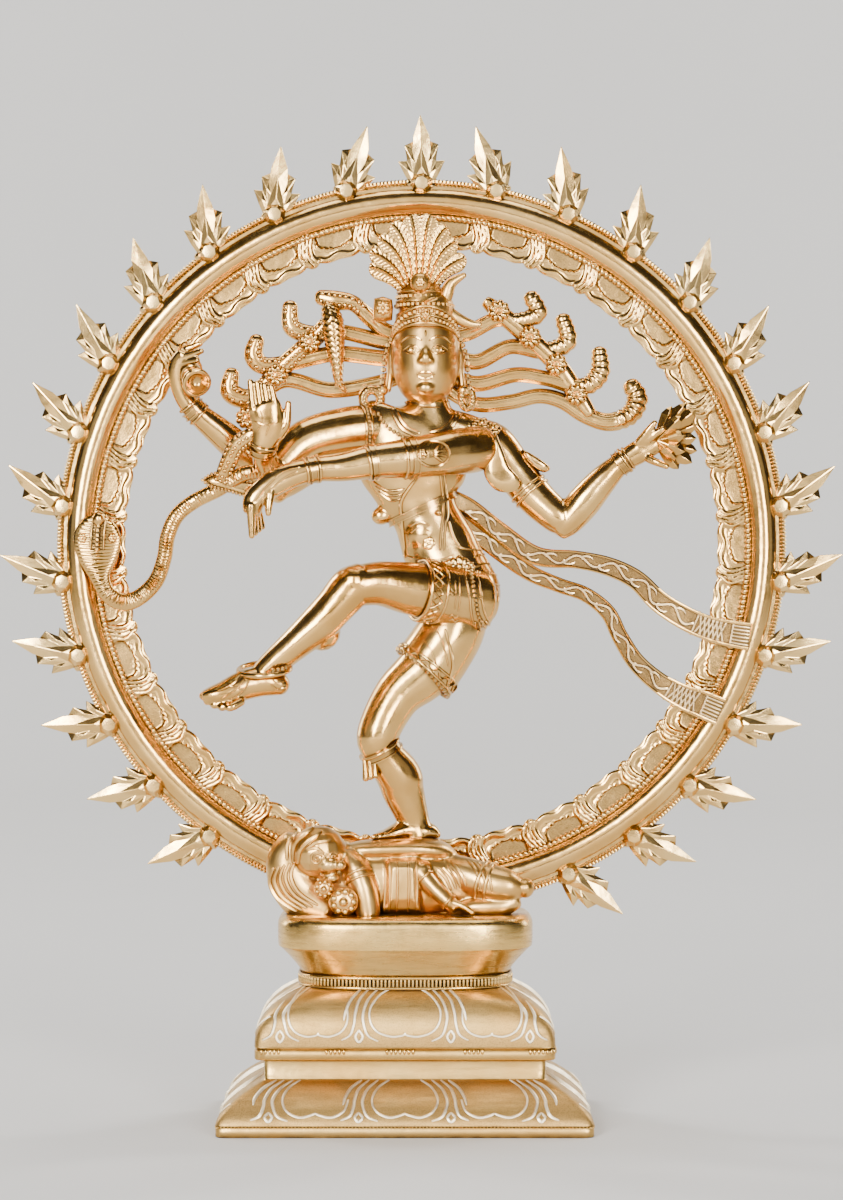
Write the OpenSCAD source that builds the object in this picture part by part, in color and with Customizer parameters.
// Brass dancer with four arms, standing on a dwarf inside a ring of flames,
// on a two-tier lotus pedestal. Cast, brazed and pinned, in millimetres.
// +Z is up, the front faces -Y, and the origin lies on the ground under the
// middle of the arch.

/* [Plinth] */
// Width of the bottom flange
plinth_w = 182; // [160:1:210]
// Depth of the bottom flange
plinth_d = 130; // [110:1:150]
// Height of the bottom flange
flange_h = 5.5; // [3:0.5:9]
// Height of the flared tier above the flange
flare_h = 19.5; // [12:0.5:30]
// Width of the straight waist above the flare
waist_w = 138; // [128:1:142]
// Depth of the straight waist
waist_d = 90; // [80:1:94]
// Height of the straight waist
waist_h = 10; // [6:0.5:16]
// Wall of the hollow pedestal castings
wall = 5; // [3.5:0.5:7]

/* [Lotus pedestal] */
// Width of the ledge under the lotus
ledge_w = 146; // [142:1:156]
// Depth of the ledge under the lotus
ledge_d = 98; // [94:1:106]
// Height of the ledge
ledge_h = 6; // [4:0.5:9]
// Height of the lotus tier
lotus_h = 27; // [20:0.5:36]
// Width of the throat above the lotus
throat_w = 103; // [94:1:112]
// Depth of the throat above the lotus
throat_d = 74; // [66:1:80]
// Radius of the beaded moulding round the throat
bead_r = 3; // [2:0.25:4]
// Height of the cove between the moulding and the slab
cove_h = 13.5; // [9:0.5:20]
// Width of the top slab
slab_w = 125; // [116:1:140]
// Depth of the top slab
slab_d = 88; // [82:1:100]
// Height of the top slab
slab_h = 15.5; // [11:0.5:22]
// Thickness of the slab over the hollow
slab_skin = 6; // [4:0.5:8]
// Sideways offset of the pedestal from the middle of the arch
pedestal_x = -8; // [-14:0.5:0]

/* [Arch] */
// Outer radius of the rim
arch_r = 182.5; // [172:0.5:195]
// Width of the rim outside the roll
rim_w = 4; // [3:0.25:6]
// Thickness of the rim
rim_t = 5; // [3.5:0.25:7]
// Radius of the round roll
roll_r = 7; // [6:0.25:8.5]
// Radius of the rope moulding inside the roll
rope_r = 1.8; // [1.2:0.1:2.4]
// Width of the leaf band inside the roll
leaf_w = 16; // [12:0.5:20]
// Thickness of the leaf band
leaf_t = 3; // [2:0.25:4.5]
// Depth of the scallops along the leaf band
scallop = 1.6; // [0.8:0.2:2.4]
// Distance of the arch behind the middle of the pedestal
arch_y = 14; // [12:0.5:18]

/* [Flames] */
// Length of a flame from its knob to its tip
flame_len = 34; // [28:0.5:40]
// Width of a flame across its lower points
flame_w = 24; // [20:0.5:28]
// Thickness of a flame at its ridge
flame_t = 8; // [6:0.5:11]
// Radius of the knob at the root of a flame
knob_r = 6; // [4.5:0.25:7.5]
// Depth that a knob is let into the rim
knob_sink = 2; // [1:0.25:4]
// Lean of the flames from straight out towards the top
flame_lean = 30; // [15:1:40]

/* [Figures] */
// Height of the dancer's face, the module of the dancer
face_h = 36; // [33:0.25:38]
// Height of the dwarf from the slab to the plate on its back
dwarf_h = 36; // [32:0.5:40]
// Length of the plume feathers on the crown
feather_len = 37; // [28:0.5:40]
// Thickness of the sash
sash_t = 2.8; // [2:0.2:4]
// Radius of the hand drum at its ends
drum_r = 7.2; // [5.5:0.1:8.5]
// Length of the hand drum
drum_len = 20; // [16:0.5:24]

/* [Fixings] */
// Radius of the studs that hold the dwarf down
stud_r = 3; // [2:0.5:4]
// Free length of the studs below the slab
stud_tail = 14; // [11:0.5:18]
// Radius of the dowel in the standing foot
dowel_r = 2.5; // [1.5:0.25:3.5]
// Width of the tang under the arch
tang_w = 30; // [20:1:40]
// Thickness of the tang under the arch
tang_t = 8; // [6:0.5:10]
// Length of the tang below the slab
tang_tail = 14; // [12:0.5:18]
// Radius of the cross pin through the tang
pin_r = 2; // [1.5:0.25:3]
// Clearance round parts that pass through the slab
clearance = 0.25; // [0.1:0.05:0.5]

/* [Hidden] */
$fn = 64;
flame_count = 26;
flame_pitch = 12;
first_flame = -144;
leaf_count = 34;
arch_facets = 120;
loft_sides = 28;

function flame_name(i) = str("flame_", i < 10 ? "0" : "", i);

brass = "goldenrod";
pale_brass = "khaki";
steel = "silver";

// How the sides of each tier curve with height, and how square its corners are
flare_bow = 1.65;
lotus_bow = 2.6;
cove_bow = 1.25;
plinth_square = 40;
ledge_square = 30;
throat_square = 3.2;
slab_square = 3.6;
slab_bulge = 0.5;
bead_out = 0.7;

// Heights of the pedestal tiers
flare_z = flange_h + flare_h;
waist_z = flare_z + waist_h;
ledge_z = waist_z + ledge_h;
lotus_z = ledge_z + lotus_h;
cove_z = lotus_z + 2 * bead_r;
slab_under_z = cove_z + cove_h;
slab_z = slab_under_z + slab_h;
ceiling_z = slab_z - slab_skin;

// The arch stands on the slab, and its members are set out from the rim
arch_z = slab_z + arch_r;
roll_at = arch_r - rim_w - roll_r;
rope_at = roll_at - roll_r - rope_r / 2;
leaf_in = roll_at - roll_r - leaf_w;
arch_front = arch_y - roll_r;
knob_at = arch_r - knob_sink;

// The dancer stands on the plate on the dwarf's back. Its stations are drawn
// in millimetres from there, for a face of face_drawn.
face_drawn = 36;
stand = [-3, -4, slab_z + dwarf_h];
dancer_k = face_h / face_drawn;
// The dwarf's stations are drawn from the slab, for a height of dwarf_drawn
dwarf_drawn = 36;
dwarf_k = dwarf_h / dwarf_drawn;

// Stations of the dancer: x, y, z, half-width across the view, half-depth
torso_rows = [
    [23, 0, 108, 12, 11], [22, 0, 113, 18, 15], [21, 0, 121, 21.5, 16.5], [16, 0, 135, 19, 15],
    [11, 0, 146, 18.5, 13.5], [5, 0, 160, 16.5, 12], [2, 0, 167.5, 19.5, 12.5], [0.5, 0, 176.5, 25, 14],
    [-1, 0, 190, 30, 15.5], [2, 0, 202, 33, 13.5], [5, 0, 209, 20, 11], [6, 0, 215, 11.5, 9.5],
    [5.5, 0, 221, 10, 9.5], [5, 0, 226, 9, 9]];
head_rows = [
    [5, -9, 218, 4, 4], [5, -7, 220.5, 8.5, 8.5], [5, -4, 226, 13, 13.5], [5, -2, 234, 15.5, 16.5],
    [5, -1, 243, 16, 17.5], [5, 0, 251, 15.5, 17.5], [5, 0, 258, 13, 15], [5, 0, 263, 8, 10]];
head_x = 5;
nose_rows = [[5, -17, 246, 1, 1], [5, -19, 240, 1.6, 2], [5, -19.5, 236.5, 2.6, 3], [5, -16, 234.5, 2, 2]];
// Ears by distance from the middle of the head
ear_rows = [[16.5, 1, 247, 1, 3], [17.5, 1, 240, 2, 5], [17.5, 1, 230, 1.8, 3.5], [18.5, 0, 222, 1.5, 2.5]];
earring_at = [20.5, -1, 218];
earring_r = 5;
earring_wire = 2.4;
cap_rows = [
    [5, 0, 251, 17, 18.8], [5, 0, 256, 17, 18.8], [5, 0, 257, 15.6, 17.4], [5, 0, 262, 15.4, 17],
    [4, 0, 264, 12.5, 13.5], [3, 0, 272, 11.5, 11.5], [2.5, 0, 280, 10.5, 10], [2.5, 0, 285, 6, 6]];
skull_at = [2.5, -12, 274];
skull_r = 4.2;
// Plume of feathers: spread from upright, and each feather's swelling along it
plume_root = [2.5, -3, 272];
plume_spread = 72;
plume_step = 18;
plume_shorter = 0.22;
feather = [[0, 3, 3], [0.55, 4.6, 3], [0.88, 3.7, 2.2], [1, 1.2, 1]];
waist_knob_at = [-15.5, -2, 160];
waist_knob_r = 5;
// Bands round the limbs: width, and how far they stand out
belt = [5, 1.2];
hem = [3, 1];
armlet = [2.5, 1];
bangle = [3, 1.2];
anklet = [4.2, 1.5];
standing_rows = [
    [24, 2, 116, 12, 13], [17.5, 0, 102.5, 15, 15], [5, -2, 84, 14.5, 14], [-9, -5, 71, 12, 12],
    [-18.5, -9, 52.5, 10.5, 10.5], [-17, -8, 44, 9.5, 9.5], [-8.5, -4, 32, 11.3, 11],
    [-6, -2, 23.5, 10.5, 10], [-1, 0, 9, 8, 8], [0.5, 0, 0, 8.2, 8]];
standing_foot_rows = [
    [11, 2, 2, 2, 5], [7, 1, 3.5, 4.5, 7], [-4, -1, 4.5, 5.5, 7.5], [-13, -4, 2.5, 3.5, 7],
    [-19, -6, 0.5, 1.5, 5]];
thigh_rows = [
    [36, 0, 118, 11, 12], [31, -2, 118.5, 15, 15], [17.5, -8, 121, 14.5, 14.5], [-2.5, -17, 124, 13, 13],
    [-17.5, -23, 126.5, 11, 11.5], [-30, -27, 125, 9.5, 10.5], [-35, -28, 124, 5, 6]];
shin_rows = [
    [-25, -26, 131, 7, 9], [-31, -27, 125, 10.5, 10.5], [-40, -28, 114.5, 9.8, 10.5],
    [-47.5, -28, 106.5, 9.5, 10], [-58.5, -28, 97, 8, 9], [-71.5, -28, 85.5, 6.5, 7], [-77, -28, 79, 5.5, 6]];
raised_foot_rows = [
    [-64, -28, 77, 3, 4.5], [-69, -28, 77.5, 6.5, 6.5], [-84, -29, 75, 6.5, 7.5], [-98, -30, 71, 4, 7.5],
    [-107, -31, 69, 1.8, 5.5]];
crossing_rows = [
    [38, -2, 195, 6, 7], [34, -4, 194.5, 10, 10.5], [28, -9, 192.5, 11.5, 11.5], [15, -19, 190.5, 11, 11],
    [0, -26, 188, 10, 10], [-19, -30, 186, 8.5, 8.5], [-35, -33, 183, 7, 7], [-50, -36, 181.5, 6, 6],
    [-65, -39, 177, 6.5, 4.5], [-77, -40, 168, 5.8, 5], [-79, -40, 161, 4.5, 5]];
// First finger of a hand and the step to the next one: root, step, tip, step
hanging_finger = [
    [-79.5, -44, 164, 2.5, 2.1], [0.8, 2.9, 0, 0, 0], [-79, -43.5, 149, 1.6, 1.4], [1.6, 2.6, 1.5, 0, 0]];
hanging_thumb = [[-70, -42, 171, 2.6, 2.4], [-71, -44, 160, 1.4, 1.4]];
raised_finger = [
    [-78.5, -39.5, 210, 2, 2.2], [3.8, 0, 0, 0, 0], [-80, -40.5, 224.5, 1.3, 1.3], [3.4, 0, -0.8, 0, 0]];
raised_thumb_rows = [[-66, -37, 198, 2.4, 2.6], [-62.5, -38, 204, 2.2, 2.4], [-61.5, -39, 214, 1.4, 1.4]];
drum_fingers = [
    [[-115, -9, 238, 2.2, 2.2], [-105, -13, 241, 1.5, 1.5]],
    [[-116, -8, 235, 2.2, 2.2], [-107, -13, 236.5, 1.5, 1.5]]];
fire_upper_rows = [
    [26, 6, 201, 8, 8], [38, 5, 196, 11, 10.5], [50, 3, 181, 10, 10], [60, 1, 169, 9.5, 9.5],
    [72, -2, 158, 8, 8.5], [76, -3, 154, 4, 5]];
fire_fore_rows = [
    [71, -2, 152, 5, 6], [75, -2, 157, 7.5, 8], [83, -3, 166.5, 8.5, 8.5], [92.5, -4, 177.5, 7.3, 7.3],
    [101.5, -5, 186, 5.5, 5.5], [112, -6, 192.5, 6, 4.5], [120, -6, 196, 4.5, 4]];
// Flame on the palm: its tongues fan out round the palm, the middle ones longest
palm = [119, 197];
palm_y = -6;
tongues = 7;
tongue_first = 95;
tongue_step = 27;
tongue_short = 17;
tongue_swell = 8;
tongue_notch = 0.66;
tongue_peak = [7, 0];
tongue_t = 9;
blessing_upper_rows = [
    [-18, 0, 201, 10, 11], [-32.5, -3, 200, 12, 12], [-55, -9, 194, 10.5, 10.5], [-67, -14, 182, 9, 9],
    [-71, -16, 175, 4.5, 5]];
blessing_fore_rows = [
    [-69, -12, 176, 6, 7], [-71, -19, 180, 7.5, 8], [-74, -33, 190, 5.5, 5.5], [-71.5, -38, 202, 7.8, 4],
    [-72.5, -39.5, 211, 8, 3.2], [-73, -40, 213, 7, 2.5]];
drum_upper_rows = [
    [-20, 8, 201, 8, 7], [-37.5, 10, 200, 11, 9], [-52.5, 11, 187.5, 10, 9], [-68, 10, 177, 9, 9],
    [-73, 9, 173.5, 5, 6]];
drum_fore_rows = [
    [-66, 10, 170, 5, 6], [-71, 9, 176, 8, 8.5], [-81, 6, 187.5, 8.5, 8.5], [-95, 2, 200, 7.5, 7.5],
    [-109.5, -2, 212.5, 5.5, 5.5], [-115.5, -4, 222, 5, 4.5], [-117, -6, 233, 5.5, 4],
    [-114, -8, 240, 4, 3.5]];

// Locks of hair, each from the head to its curled tip: x, z, half-width
locks_right = [
    [[12, 250, 4], [25, 251, 4], [40, 258, 3.8], [51.5, 257.5, 3.6], [61, 261, 3.4], [57.5, 269, 1.2]],
    [[14, 242, 4], [30, 237, 4], [47, 244.5, 3.8], [64, 242.5, 3.8], [75.5, 247, 3.6], [73.5, 258, 1.2]],
    [[14, 232, 4], [30, 226, 4], [50, 230.5, 3.8], [66, 228.5, 3.8], [83, 224.5, 4], [91.5, 231, 3.8],
     [91.5, 241.5, 1.2]],
    [[14, 224, 3.5], [30, 216, 3.8], [47, 217, 3.8], [61.5, 220, 3.8], [73, 217.5, 4], [84.5, 210.5, 4.2],
     [96, 207, 4.5], [106.5, 210.5, 4.6], [110.5, 218.5, 4], [107.5, 225, 1.5]]];
locks_left = [
    [[-8, 250, 4], [-16, 253, 4], [-23, 259, 4], [-31, 266, 3.8], [-39.5, 267.5, 3.8], [-47, 269, 1.2]],
    [[-8, 246, 4], [-17.5, 247.5, 4], [-37.5, 252, 3.8], [-52.5, 251, 4], [-61.5, 254.5, 3.6],
     [-62.5, 264.5, 1.2]],
    [[-8, 238, 4], [-19, 239, 4], [-40, 241, 4], [-60, 237, 4], [-75, 235, 4.2], [-80.5, 240, 3.8],
     [-79, 247.5, 1.2]],
    [[-8, 230, 4], [-20, 226, 4], [-42.5, 223, 4], [-65, 228, 4], [-82, 219, 4.4], [-92, 222, 4],
     [-91.5, 231, 1.2]]];
rosettes_right = [[41.5, 262], [55, 251.5], [69.5, 236], [80, 220]];
rosettes_left = [[-43, 260], [-54, 247], [-66.5, 233.5], [-77, 225]];
rosette_r = 5.5;
rosette_out = 1.5;
hair_y = 7;
hair_d = 3;
fish_rows = [
    [-43, 3, 264, 4, 4], [-41, 1, 256, 5.5, 5.5], [-40, 1, 246, 5, 5.5], [-39, 1, 236, 3.5, 4.5],
    [-38, 2, 227, 2.2, 3.5], [-35, 4, 222, 1.2, 2.5]];

// Stations of the dwarf, drawn from the slab
dwarf_back_rows = [
    [-35, -12, 29, 3, 6], [-30, -11, 29, 5, 9], [-16, -9, 29.5, 5.6, 11], [2, -7, 29.5, 6, 12],
    [14, -6, 29, 5.5, 10], [19, -6, 28, 2.5, 5]];
dwarf_head_rows = [
    [-65, -17, 40, 3, 5], [-61, -17, 37, 9, 11], [-52, -19, 31, 13, 14], [-43, -22, 25, 11, 11.5],
    [-37, -24, 20, 5, 6]];
dwarf_hair_rows = [
    [-60, -12, 38, 7, 9], [-66, -11, 27, 8, 10], [-65, -11, 15, 8, 10], [-57, -12, 5, 8, 9],
    [-46, -14, 0, 8, 9]];
dwarf_arm_rows = [
    [-36, -20, 29, 4, 6], [-33, -23, 22, 6.5, 8], [-28, -26, 11, 7, 7.5], [-25, -27, 0, 6, 6.5]];
dwarf_fore_rows = [
    [-8, -16, 28, 4, 5], [-3, -20, 22, 4.8, 5.5], [7, -24, 12, 4.2, 5], [16, -27, 5, 3.5, 4.5],
    [28, -28, 2, 2, 5]];
dwarf_thigh_rows = [
    [4, -8, 28, 5, 7], [14, -10, 22, 9, 10], [27, -13, 13, 10, 11], [42, -16, 11, 8.5, 9.5],
    [53, -18, 10.5, 3, 4]];
dwarf_shin_rows = [
    [50, -18, 7, 3, 4], [42, -19, 4, 5, 6], [28, -19, 3, 5, 6], [18, -18, 1, 3, 4]];
dwarf_block = [[-18, 0], [2, 0], [-2, 26], [-15, 26]];
dwarf_block_y = [-20, -8];
dwarf_rosettes = [[-45.5, 12, 5.5], [-36, 6.5, 6.5]];
dwarf_rosette_y = [-34, -20];
plate_rx = 14;
plate_ry = 9;
plate_t = 2.2;
plate_foot = 6;
plate_neck = 0.8;

// Studs under the dwarf's support block and under its folded leg
stud_spots = [[-8, -14], [30, -17]];
stud_grip = 10;
washer_t = 1.6;
washer_r = stud_r * 2;
nut_flat = stud_r * 10 / 3;
nut_h = stud_r * 5 / 3;
dowel_in_foot = 14;
dowel_in_dwarf = 7;
pin_len = tang_t + 16;

// Vector helpers
function xyz(row) = [row[0], row[1], row[2]];
function unit(v) = v / norm(v);
function mix(a, b, t) = a + (b - a) * t;

// Smooth curve of rows through the given rows, with steps between each pair
function smooth(rows, steps) = [
    for (i = [0 : len(rows) - 2])
        let (a = rows[max(i - 1, 0)], b = rows[i], c = rows[i + 1], d = rows[min(i + 2, len(rows) - 1)])
        for (k = [0 : steps - 1])
            let (t = k / steps)
            b + ((c - a) * t + (2 * a - 5 * b + 4 * c - d) * t * t + (3 * b - a - 3 * c + d) * t * t * t) / 2,
    rows[len(rows) - 1]];

// A row drawn for the dancer, moved to its place on the statue
function placed(row) = concat(stand + dancer_k * xyz(row), dancer_k * row[3], dancer_k * row[4]);

// A row on the front of the arch, by angle from the top, distance inside the
// middle of the roll, and lift
function on_arch(angle, inside, lift, half_w, half_d) =
    let (radius = roll_at - inside)
    [radius * sin(angle), arch_front - lift, arch_z + radius * cos(angle), half_w, half_d];

// Point of a squared-off oval at an angle
function oval_point(angle, half_w, half_d, squareness) = [
    half_w * sign(cos(angle)) * pow(abs(cos(angle)), 2 / squareness),
    half_d * sign(sin(angle)) * pow(abs(sin(angle)), 2 / squareness)];

// Faces between rings of points, with end caps or closed on itself
function ring_faces(n, sides, closed) = concat(
    closed ? [] : [[for (k = [0 : sides - 1]) sides - 1 - k]],
    [for (i = [0 : n - (closed ? 1 : 2)], k = [0 : sides - 1])
        let (m = (k + 1) % sides, j = (i + 1) % n)
        each [[i * sides + k, i * sides + m, j * sides + m], [i * sides + k, j * sides + m, j * sides + k]]],
    closed ? [] : [[for (k = [0 : sides - 1]) (n - 1) * sides + k]]);

// A swelling limb through stations
module limb(rows, sides = 12, steps = 1) {
    rings = smooth(rows, steps);
    n = len(rings);
    points = [
        for (i = [0 : n - 1])
            let (
                along = unit(xyz(rings[min(i + 1, n - 1)]) - xyz(rings[max(i - 1, 0)])),
                across = unit(cross(along, [0, 1, 0])),
                deep = cross(across, along))
            for (k = [0 : sides - 1])
                xyz(rings[i])
                    + rings[i][3] * cos(360 * k / sides) * across
                    + rings[i][4] * sin(360 * k / sides) * deep];
    polyhedron(points, ring_faces(n, sides, false));
}

// A raised band round a limb, part of the way from one station to the next.
// Its size is its width and how far it stands out.
module band(rows, i, t, size) {
    at = mix(rows[i], rows[i + 1], t);
    half = unit(xyz(rows[i + 1]) - xyz(rows[i])) * size[0] / 2;
    grown = [at[3] + size[1], at[4] + size[1]];
    limb([concat(xyz(at) - half, grown), concat(xyz(at) + half, grown)], sides = 8);
}

// A loft of squared-off ovals: rows of z, half-width, half-depth, squareness
module oval_loft(rows, closed = false) {
    points = [
        for (row = rows, k = [0 : loft_sides - 1])
            let (p = oval_point(-360 * k / loft_sides, row[1], row[2], row[3]))
            [p[0], p[1], row[0]]];
    polyhedron(points, ring_faces(len(rows), loft_sides, closed));
}

// A pointed leaf with a ridge front and back, over a star-shaped outline
module ridged_leaf(outline, apex, thick) {
    n = len(outline);
    points = concat(
        [for (p = outline) [p[0], 0, p[1]]],
        [[apex[0], -thick / 2, apex[1]], [apex[0], thick / 2, apex[1]]]);
    faces = [for (k = [0 : n - 1]) each [[(k + 1) % n, k, n], [k, (k + 1) % n, n + 1]]];
    polyhedron(points, faces);
}

// Shapes that are poured as one casting
module casting() {
    resize([0, 0, 0]) union() children();
}

module in_dancer() {
    translate(stand) scale(dancer_k) children();
}

module in_dwarf() {
    translate([stand[0], 0, slab_z]) scale(dwarf_k) children();
}

// Disc facing the front, with a flat face count
module front_disc(x, y0, y1, z, radius, sides) {
    translate([x, y1, z]) rotate([90, 0, 0]) cylinder(r = radius, h = y1 - y0, $fn = sides);
}

// Pedestal

// Half sizes of the flared tier at a share of its height
function flare_row(t) =
    let (s = 1 - pow(t, flare_bow))
    [flange_h + flare_h * t,
     mix(waist_w / 2, plinth_w / 2, s), mix(waist_d / 2, plinth_d / 2, s), plinth_square];

function inset(row, z, by) = [z, row[1] - by, row[2] - by, row[3]];

module plinth() {
    flange = [0, plinth_w / 2, plinth_d / 2, plinth_square];
    waist = [waist_z, waist_w / 2, waist_d / 2, plinth_square];
    lip = [flange_h, plinth_w / 2, plinth_d / 2, plinth_square];
    rows = [
        inset(waist, waist_z, wall), inset(waist, flare_z - wall, wall),
        inset(flare_row(0.5), flange_h, wall), inset(flange, 0, wall),
        flange, lip,
        for (t = [0.35, 0.65, 0.87, 1]) flare_row(t),
        waist];
    color(pale_brass)
        translate([pedestal_x, 0, 0]) oval_loft(rows, closed = true);
}

// Half sizes of the lotus tier at a share of its height
function lotus_row(t) =
    let (s = 1 - pow(t, lotus_bow))
    [ledge_z + lotus_h * t,
     mix(throat_w / 2, ledge_w / 2, s), mix(throat_d / 2, ledge_d / 2, s),
     mix(ledge_square, throat_square, t)];

// Half sizes of the cove at a share of its height
function cove_row(t) =
    let (s = pow(t, cove_bow))
    [cove_z + cove_h * t,
     mix(throat_w / 2, slab_w / 2, s), mix(throat_d / 2, slab_d / 2, s),
     mix(throat_square, slab_square, t)];

// Half sizes of the beaded moulding at an angle round its half circle
function bead_row(angle) =
    let (out = bead_out * bead_r * sin(angle))
    [lotus_z + bead_r - bead_r * cos(angle), throat_w / 2 + out, throat_d / 2 + out, throat_square];

function slab_row(z, by) = [z, slab_w / 2 - by, slab_d / 2 - by, slab_square];

module lotus_pedestal() {
    seat = [waist_z, waist_w / 2, waist_d / 2, ledge_square];
    ledge = [waist_z, ledge_w / 2, ledge_d / 2, ledge_square];
    ledge_top = [ledge_z, ledge_w / 2, ledge_d / 2, ledge_square];
    slab_round = slab_h / 3;
    rows = [
        inset(cove_row(0.6), ceiling_z, wall), inset(cove_row(0), cove_z, wall),
        inset(cove_row(0), lotus_z, wall), inset(lotus_row(0.6), ledge_z, wall),
        inset(seat, waist_z, wall), ledge, ledge_top,
        for (t = [0.3, 0.55, 0.75, 0.9, 1]) lotus_row(t),
        for (angle = [60, 120, 180]) bead_row(angle),
        for (t = [0.35, 0.7, 1]) cove_row(t),
        slab_row(slab_z - slab_round, -slab_bulge), slab_row(slab_z - slab_round / 3, slab_round / 4),
        slab_row(slab_z, slab_round)];
    color(pale_brass)
        difference() {
            translate([pedestal_x, 0, 0]) oval_loft(rows);
            for (spot = stud_spots)
                translate([stud_x(spot), stud_y(spot), ceiling_z - 1])
                    cylinder(r = stud_r + clearance, h = slab_z - ceiling_z + 2);
            translate([-tang_w / 2 - clearance, arch_y - tang_t / 2 - clearance, ceiling_z - 1])
                cube([tang_w + 2 * clearance, tang_t + 2 * clearance, slab_z - ceiling_z + 2]);
        }
}

// Arch and flames

// Stands a shape drawn round Z up as the arch, front side out
module as_arch() {
    translate([0, arch_y, arch_z]) rotate([90, 0, 0]) children();
}

// Section of the plain members, by radius and distance in front of the middle
module arch_section(grown = 0) {
    translate([roll_at, 0]) circle(r = roll_r + grown);
    translate([roll_at, -rim_t / 2]) square([arch_r + grown - roll_at, rim_t]);
    translate([rope_at, leaf_t / 2]) circle(r = rope_r + grown);
}

// Flat leaf band with one scallop to each leaf
module leaf_band() {
    steps = 8;
    outline = [
        for (k = [0 : leaf_count * steps - 1])
            let (angle = 360 * k / (leaf_count * steps), wave = abs(sin(180 * k / steps)))
            (leaf_in + scallop * (1 - wave)) * [cos(angle), sin(angle)]];
    translate([0, 0, -leaf_t / 2])
        linear_extrude(leaf_t)
            difference() {
                circle(r = roll_at);
                polygon(outline);
            }
}

module flame_arch() {
    color(brass)
        difference() {
            union() {
                as_arch() rotate_extrude() arch_section();
                as_arch() leaf_band();
                translate([-tang_w / 2, arch_y - tang_t / 2, ceiling_z - tang_tail])
                    cube([tang_w, tang_t, arch_z - roll_at - ceiling_z + tang_tail]);
            }
            translate([0, arch_y, ceiling_z - pin_r - clearance])
                rotate([90, 0, 0])
                    cylinder(r = pin_r, h = 2 * tang_t, center = true);
        }
}

module arch_pin() {
    color(brass)
        translate([0, arch_y, ceiling_z - pin_r - clearance])
            rotate([90, 0, 0])
                cylinder(r = pin_r, h = pin_len, center = true);
}

// The space that the arch takes up, with a facet's allowance
module arch_space() {
    allowance = arch_r * (1 / cos(180 / arch_facets) - 1);
    as_arch() rotate_extrude($fn = arch_facets) arch_section(allowance, $fn = 16);
}

// Half outline of a flame from its root to below the tip, in shares of its
// width and length, and the height of its ridge's peak
flame_half = [[0.26, -0.03], [0.3, 0.12], [0.5, 0.34], [0.33, 0.4], [0.4, 0.62], [0.17, 0.6]];
flame_peak = 0.36;

function flame_side(s) = [for (p = flame_half) [s * flame_w * p[0], flame_len * p[1]]];

module flame_form() {
    right = flame_side(1);
    left = flame_side(-1);
    outline = concat(right, [[0, flame_len]], [for (k = [len(left) - 1 : -1 : 0]) left[k]]);
    ridged_leaf(outline, [0, flame_len * flame_peak], flame_t);
    front_disc(0, -flame_t, flame_t / 4, 0, knob_r, 8);
}

module flame(i) {
    angle = first_flame + flame_pitch * (i - 1);
    color(brass)
        difference() {
            translate([0, arch_y, arch_z])
                rotate([0, angle, 0])
                    translate([0, 0, knob_at])
                        rotate([0, -flame_lean * sign(angle), 0])
                            flame_form();
            as_arch() rotate_extrude() arch_section();
        }
}

// Dwarf and its fixings

function stud_x(spot) = stand[0] + dwarf_k * spot[0];
function stud_y(spot) = dwarf_k * spot[1];

module dwarf_form() {
    limb(dwarf_back_rows, sides = 10);
    limb(dwarf_head_rows, sides = 10);
    limb(dwarf_hair_rows, sides = 7);
    limb(dwarf_arm_rows, sides = 7);
    limb(dwarf_fore_rows, sides = 6);
    limb(dwarf_thigh_rows, sides = 8);
    limb(dwarf_shin_rows, sides = 6);
    translate([0, dwarf_block_y[1], 0])
        rotate([90, 0, 0])
            linear_extrude(dwarf_block_y[1] - dwarf_block_y[0])
                polygon(dwarf_block);
    for (r = dwarf_rosettes)
        front_disc(r[0], dwarf_rosette_y[0], dwarf_rosette_y[1], r[1], r[2], 9);
    plate(plate_t, 1);
    plate(plate_t + plate_foot, plate_neck);
}

// Oval plate under the dancer's foot, by thickness and share of its size
module plate(thick, share) {
    translate([0, -stand_shift(), dwarf_drawn - thick])
        scale([plate_rx * share, plate_ry * share, 1])
            cylinder(r = 1, h = thick, $fn = 18);
}

// Distance of the standing foot in front of the middle of the pedestal
function stand_shift() = -stand[1] / dwarf_k;

module ground_cut() {
    side = 400;
    translate([-side / 2, -side / 2, -side]) cube(side);
}

module dwarf() {
    color(brass)
        difference() {
            casting()
                difference() {
                    in_dwarf()
                        difference() {
                            dwarf_form();
                            ground_cut();
                        }
                    arch_space();
                }
            for (spot = stud_spots)
                translate([stud_x(spot), stud_y(spot), slab_z - 1])
                    cylinder(r = stud_r, h = stud_grip + 1);
            foot_dowel();
        }
}

module dwarf_studs() {
    color(steel)
        for (spot = stud_spots)
            translate([stud_x(spot), stud_y(spot), ceiling_z - stud_tail])
                cylinder(r = stud_r, h = stud_tail + slab_z - ceiling_z + stud_grip);
}

module stud_washers() {
    color(steel)
        for (spot = stud_spots)
            translate([stud_x(spot), stud_y(spot), ceiling_z - washer_t])
                difference() {
                    cylinder(r = washer_r, h = washer_t);
                    translate([0, 0, -1]) cylinder(r = stud_r + clearance, h = washer_t + 2);
                }
}

module stud_nuts() {
    color(steel)
        for (spot = stud_spots)
            translate([stud_x(spot), stud_y(spot), ceiling_z - washer_t - nut_h])
                difference() {
                    cylinder(d = nut_flat / cos(30), h = nut_h, $fn = 6);
                    translate([0, 0, -1]) cylinder(r = stud_r, h = nut_h + 2);
                }
}

module foot_dowel() {
    color(brass)
        translate(stand - [0, 0, dowel_in_dwarf])
            cylinder(r = dowel_r, h = dowel_in_dwarf + dowel_in_foot);
}

// Dancer: forms in the dancer's own space, and nodes cut to sit together

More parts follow.
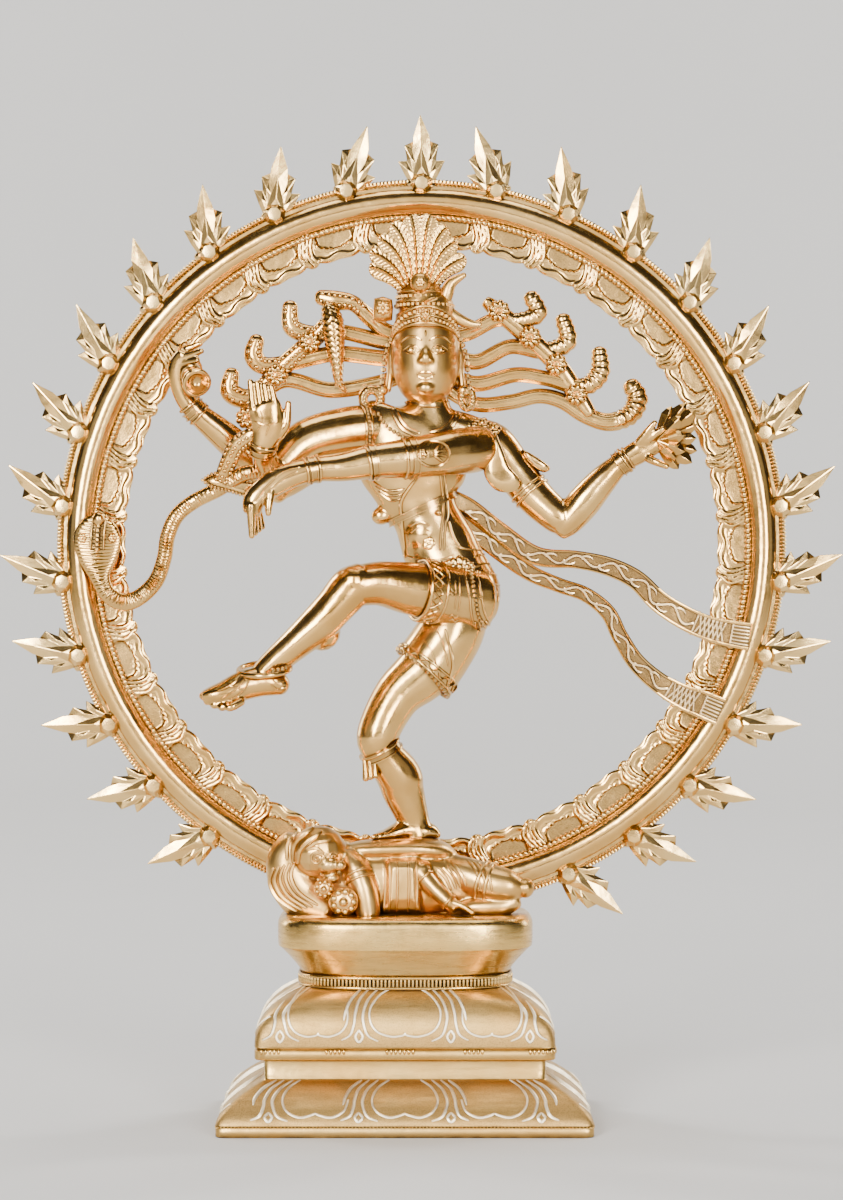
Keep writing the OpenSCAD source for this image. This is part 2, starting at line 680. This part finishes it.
module torso_form() {
    limb(torso_rows, sides = 16);
    band(torso_rows, 3, 0.3, belt);
    translate(waist_knob_at) sphere(r = waist_knob_r, $fn = 10);
}

module standing_leg_form() {
    limb(standing_rows);
    limb(standing_foot_rows, sides = 8);
    band(standing_rows, 2, 0.1, hem);
    band(standing_rows, 5, 0.1, anklet);
}

module raised_leg_form() {
    limb(thigh_rows);
    limb(shin_rows);
    limb(raised_foot_rows, sides = 8);
    band(thigh_rows, 2, 0.55, hem);
    band(shin_rows, 5, 0.2, anklet);
}

module head_form() {
    limb(head_rows, sides = 14);
    limb(nose_rows, sides = 6);
    for (s = [-1, 1]) {
        limb([for (r = ear_rows) [head_x + s * r[0], r[1], r[2], r[3], r[4]]], sides = 6);
        translate([head_x + s * earring_at[0], earring_at[1], earring_at[2]])
            rotate([90, 0, 0])
                rotate_extrude($fn = 10) translate([earring_r, 0]) circle(r = earring_wire, $fn = 4);
    }
}

module crown_form() {
    limb(cap_rows, sides = 14);
    translate(skull_at) sphere(r = skull_r, $fn = 10);
    for (angle = [-plume_spread : plume_step : plume_spread]) {
        reach = feather_len / dancer_k * (1 - plume_shorter * abs(sin(angle)));
        tip = plume_root + reach * [sin(angle), 0, cos(angle)];
        limb([for (f = feather) concat(mix(plume_root, tip, f[0]), [f[1], f[2]])], sides = 4);
    }
}

// Locks of one side, tied together by rosettes
module hair_form(locks, rosettes) {
    for (lock = locks)
        limb([for (p = lock) [p[0], hair_y, p[1], p[2], hair_d * p[2] / 4]], sides = 5, steps = 2);
    for (r = rosettes)
        front_disc(r[0], hair_y - hair_d - rosette_out, hair_y + hair_d, r[1], rosette_r, 8);
}

// Straight finger from a root row to a tip row
module finger(root, tip) {
    limb([root, mix(root, tip, 0.6), tip], sides = 5);
}

module crossing_arm_form() {
    limb(crossing_rows, sides = 10);
    band(crossing_rows, 4, 0.05, armlet);
    band(crossing_rows, 5, 0.02, armlet);
    band(crossing_rows, 7, 0.05, bangle);
    for (k = [0 : 3])
        finger(hanging_finger[0] + k * hanging_finger[1], hanging_finger[2] + k * hanging_finger[3]);
    finger(hanging_thumb[0], hanging_thumb[1]);
}

module fire_arm_form() {
    limb(fire_upper_rows, sides = 10);
    limb(fire_fore_rows, sides = 10);
    band(fire_upper_rows, 3, 0.1, bangle);
    band(fire_fore_rows, 4, 0, bangle);
}

module hand_flame_form() {
    outline = [
        for (k = [tongues - 1 : -1 : 0])
            let (
                angle = tongue_first - tongue_step * k,
                notch = angle - tongue_step / 2,
                reach = tongue_short + tongue_swell * sin(180 * k / (tongues - 1)))
            each [
                palm + reach * tongue_notch * [cos(notch), sin(notch)],
                palm + reach * [cos(angle), sin(angle)]]];
    translate([0, palm_y, 0])
        ridged_leaf(outline, palm + tongue_peak, tongue_t);
}

module blessing_arm_form() {
    limb(blessing_upper_rows, sides = 10);
    limb(blessing_fore_rows, sides = 10);
    band(blessing_fore_rows, 2, 0, bangle);
    for (k = [0 : 3])
        finger(raised_finger[0] + k * raised_finger[1], raised_finger[2] + k * raised_finger[3]);
    limb(raised_thumb_rows, sides = 5);
}

module drum_arm_form() {
    limb(drum_upper_rows, sides = 10);
    limb(drum_fore_rows, sides = 10);
    band(drum_fore_rows, 4, 0, bangle);
    for (pair = drum_fingers)
        finger(pair[0], pair[1]);
}

// Axis of the hand drum, from its back to its front end
drum_back = [-113, -3, 233];
drum_dir = unit([5, -14, -7]);
// Waist as a share of the ends, height of the rims and width of the front lip
drum_waist = 0.62;
drum_rim = 2.4;
drum_lip = 1.5;

// Hourglass of the drum about Z, from its back end
module drum_profile(grown = 0) {
    end_r = drum_r + grown;
    waist_r = drum_r * drum_waist + grown;
    rotate_extrude()
        polygon([
            [0, 0], [end_r, 0], [end_r, drum_rim], [waist_r, drum_len / 2],
            [end_r, drum_len - drum_rim], [end_r, drum_len], [0, drum_len]]);
}

module at_drum() {
    turn = [0, acos(drum_dir[2]), atan2(drum_dir[1], drum_dir[0])];
    translate(stand + dancer_k * drum_back) rotate(turn) children();
}

module hand_drum() {
    color(brass)
        at_drum()
            difference() {
                drum_profile();
                translate([0, 0, drum_len - drum_rim]) cylinder(r = drum_r - drum_lip, h = drum_rim + 1);
            }
}

module torso() {
    color(brass) casting() in_dancer() torso_form();
}

module raised_leg() {
    color(brass)
        casting()
            in_dancer()
                difference() {
                    raised_leg_form();
                    torso_form();
                }
}

module standing_leg() {
    color(brass)
        difference() {
            casting()
                in_dancer()
                    difference() {
                        standing_leg_form();
                        torso_form();
                        raised_leg_form();
                        ground_cut();
                    }
            foot_dowel();
        }
}

module head() {
    color(brass)
        casting()
            in_dancer()
                difference() {
                    head_form();
                    torso_form();
                }
}

module crown() {
    color(brass)
        casting()
            in_dancer()
                difference() {
                    crown_form();
                    head_form();
                }
}

module hair_left() {
    color(brass)
        casting()
            in_dancer()
                difference() {
                    union() {
                        hair_form(locks_left, rosettes_left);
                        limb(fish_rows, sides = 6);
                    }
                    head_form();
                    crown_form();
                    torso_form();
                    blessing_arm_form();
                    drum_arm_form();
                }
}

module hair_right() {
    color(brass)
        casting()
            in_dancer()
                difference() {
                    hair_form(locks_right, rosettes_right);
                    head_form();
                    crown_form();
                    torso_form();
                    fire_arm_form();
                }
}

module blessing_arm() {
    color(brass)
        casting()
            in_dancer()
                difference() {
                    blessing_arm_form();
                    torso_form();
                }
}

module drum_arm() {
    color(brass)
        casting()
            difference() {
                in_dancer()
                    difference() {
                        drum_arm_form();
                        torso_form();
                        blessing_arm_form();
                    }
                at_drum() drum_profile(clearance);
            }
}

module crossing_arm() {
    color(brass)
        casting()
            in_dancer()
                difference() {
                    crossing_arm_form();
                    torso_form();
                    blessing_arm_form();
                }
}

module fire_arm() {
    color(brass)
        casting()
            in_dancer()
                difference() {
                    fire_arm_form();
                    torso_form();
                    crossing_arm_form();
                }
}

module hand_flame() {
    color(brass)
        casting()
            in_dancer()
                difference() {
                    hand_flame_form();
                    fire_arm_form();
                }
}

// Snake and sash, from the dancer to the front of the arch

snake_rows = concat(
    [for (row = [
        [-72, -29, 181, 3, 3], [-84, -26, 180, 3.8, 3.5], [-96, -20, 173, 3.8, 3.5],
        [-109, -10, 167, 3.8, 3.5], [-118, -4, 160, 3.8, 3.5], [-123, 2, 150, 3.8, 3.4],
        [-125, 5, 139, 3.8, 3.4], [-129.5, 7, 127.5, 4, 3.3], [-138, 8, 119.5, 4.2, 3.2]])
        placed(row)],
    [on_arch(-101, 19.5, 1.5, 4.5, 3), on_arch(-99, 13, 2.2, 4.2, 2.8), on_arch(-96, 10.5, 2.4, 5, 2.6),
     on_arch(-92.5, 10, 2.2, 10, 2.4), on_arch(-89, 10, 2.2, 12, 2.4), on_arch(-86.5, 10.5, 2.4, 9, 2.6),
     on_arch(-84.8, 11, 2.4, 3, 1.5)]);

module snake() {
    color(brass)
        casting()
            difference() {
                limb(snake_rows, sides = 7, steps = 2);
                in_dancer() blessing_arm_form();
                in_dancer() drum_arm_form();
                in_dancer() crossing_arm_form();
                arch_space();
            }
}

half_sash = sash_t / 2;
sash_upper_rows = concat(
    [for (row = [
        [14, 5, 171, 4], [26, 7.5, 164.5, 5], [41, 9, 153, 5], [60, 9.5, 140.5, 4.8], [80.5, 9.5, 138.5, 4.5],
        [96.5, 9.5, 135, 4.8], [110, 9.5, 128.5, 5], [121.5, 9.5, 117.5, 5.5]])
        concat(stand + dancer_k * xyz(row), dancer_k * row[3], half_sash)],
    [on_arch(105.8, 34.5, 0.8, 6, half_sash), on_arch(106.4, 21.5, 0.9, 6.3, half_sash),
     on_arch(106.2, 10.5, 0.9, 6.8, half_sash), on_arch(105.8, 1.5, 0.9, 7, half_sash)]);
sash_lower_rows = concat(
    [for (row = [
        [17, 4, 162.5, 3.5], [25, 7, 156.5, 4.5], [38, 9, 145.5, 4.5], [56, 9.5, 132.5, 4.2],
        [71, 9.5, 126, 3.8], [85, 9.5, 121, 3.8], [96, 9.5, 112, 4], [102, 9.5, 100, 4.2],
        [110, 9.5, 87.5, 4.6], [121, 9.5, 77.5, 5.2]])
        concat(stand + dancer_k * xyz(row), dancer_k * row[3], half_sash)],
    [on_arch(120.4, 21.5, 0.9, 6.2, half_sash), on_arch(119.8, 10.5, 0.9, 7, half_sash),
     on_arch(119.4, 0.5, 0.9, 7.2, half_sash)]);

module sash_upper() {
    color(brass)
        casting()
            difference() {
                limb(sash_upper_rows, sides = 6, steps = 2);
                in_dancer() torso_form();
                in_dancer() fire_arm_form();
                arch_space();
            }
}

module sash_lower() {
    color(brass)
        casting()
            difference() {
                limb(sash_lower_rows, sides = 6, steps = 2);
                in_dancer() torso_form();
                in_dancer() raised_leg_form();
                limb(sash_upper_rows, sides = 6, steps = 2);
                arch_space();
            }
}

plinth();
lotus_pedestal();
flame_arch();
arch_pin();
dwarf();
dwarf_studs();
stud_washers();
stud_nuts();
foot_dowel();
standing_leg();
raised_leg();
torso();
head();
crown();
hair_left();
hair_right();
blessing_arm();
drum_arm();
hand_drum();
crossing_arm();
fire_arm();
hand_flame();
snake();
sash_upper();
sash_lower();
for (i = [1 : flame_count])
    flame(i);
